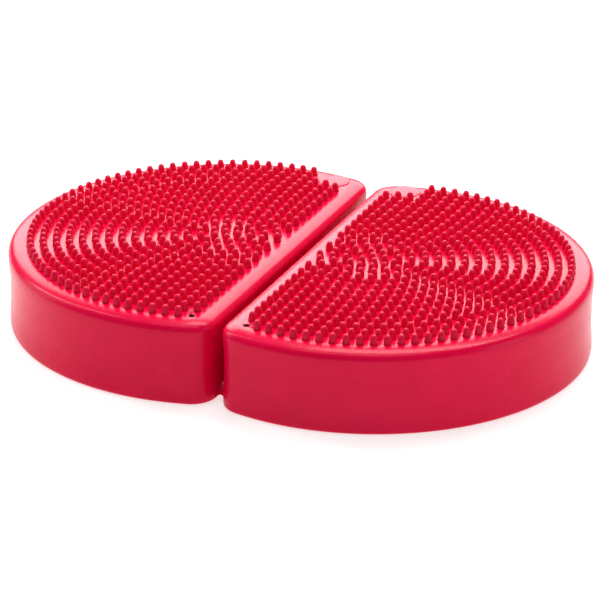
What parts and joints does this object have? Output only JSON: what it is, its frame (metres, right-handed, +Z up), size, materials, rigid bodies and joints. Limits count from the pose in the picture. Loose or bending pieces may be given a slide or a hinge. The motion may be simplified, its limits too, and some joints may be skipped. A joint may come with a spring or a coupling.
{
  "type": "balance pad",
  "caption": "Air-filled balance pad: two D-shaped chambers side by side, joined low in a narrow gap by a web, with studded decks and needle valves.",
  "frame": {"origin": "middle of the footprint, on the floor", "axes": "+X along the long axis from the left chamber to the right one, +Y along the gap, away from the valves, +Z up"},
  "size_m": [0.51, 0.374, 0.08],
  "materials": {
    "skin": "crimson soft vinyl, semi-gloss",
    "plug": "dark red rubber, matte"
  },
  "bodies": {
    "left_base": {"left_sole": "skin", "left_wall": "skin", "web": "skin"},
    "left_top": {"left_deck": "skin", "left_valve": "plug"},
    "right_base": {"right_sole": "skin", "right_wall": "skin"},
    "right_top": {"right_deck": "skin", "right_valve": "plug"}
  },
  "joints": [
    {"name": "left_sink", "type": "slide", "parent": "left_base", "child": "left_top", "axis": [0, 0, 1], "range_m": [-0.018, 0], "stiffness_N_per_m": 12000, "deforming": ["left_wall"]},
    {"name": "right_sink", "type": "slide", "parent": "right_base", "child": "right_top", "axis": [0, 0, 1], "range_m": [-0.018, 0], "stiffness_N_per_m": 12000, "deforming": ["right_wall"]},
    {"name": "web_flex", "type": "hinge", "parent": "left_base", "child": "right_base", "pos_m": [0, 0, 0.0072], "axis": [0, 1, 0], "range_deg": [-5, 25], "stiffness_Nm_per_rad": 8}
  ]
}
